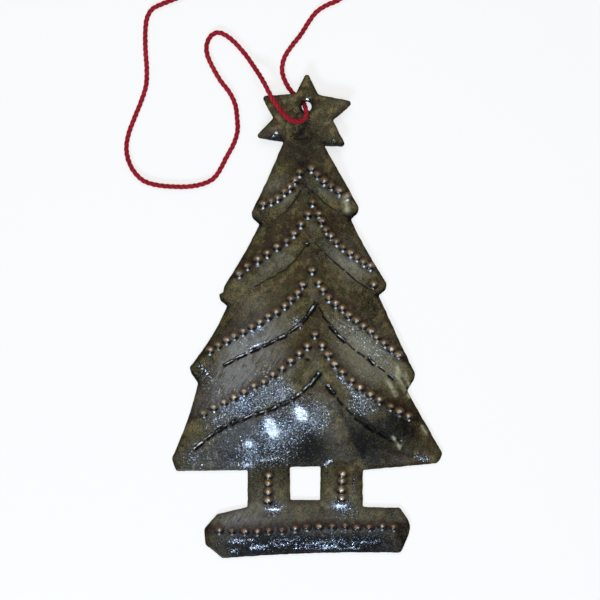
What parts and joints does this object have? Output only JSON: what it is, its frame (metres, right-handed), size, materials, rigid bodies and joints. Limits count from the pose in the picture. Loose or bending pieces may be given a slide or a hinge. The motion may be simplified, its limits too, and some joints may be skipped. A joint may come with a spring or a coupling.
{
  "type": "tree ornament",
  "caption": "Flat tree ornament hammered from sheet steel, with a star, stepped boughs, punched dots, chisel lines and a footed trunk, hung on a loop of red twisted yarn.",
  "frame": {"origin": "on the surface that the ornament lies on, under the middle of the steel sheet", "axes": "+X to the right and +Y towards the star as seen from the front, +Z out of the front"},
  "size_m": [0.0841, 0.162, 0.0047],
  "materials": {
    "steel": "hammered, dark brown patina under clear gloss lacquer",
    "yarn": "crimson twisted yarn"
  },
  "bodies": {
    "tree": {"tree_sheet": "steel"},
    "hanging_cord": {"cord_front_strand": "yarn", "cord_back_strand": "yarn", "cord_knot": "yarn"}
  },
  "joints": [
    {"name": "cord_swing", "type": "hinge", "parent": "tree", "child": "hanging_cord", "pos_m": [-0.0001, 0.0555, 0.0025], "axis": [0, 0, 1], "range_deg": [-20, 20]}
  ]
}
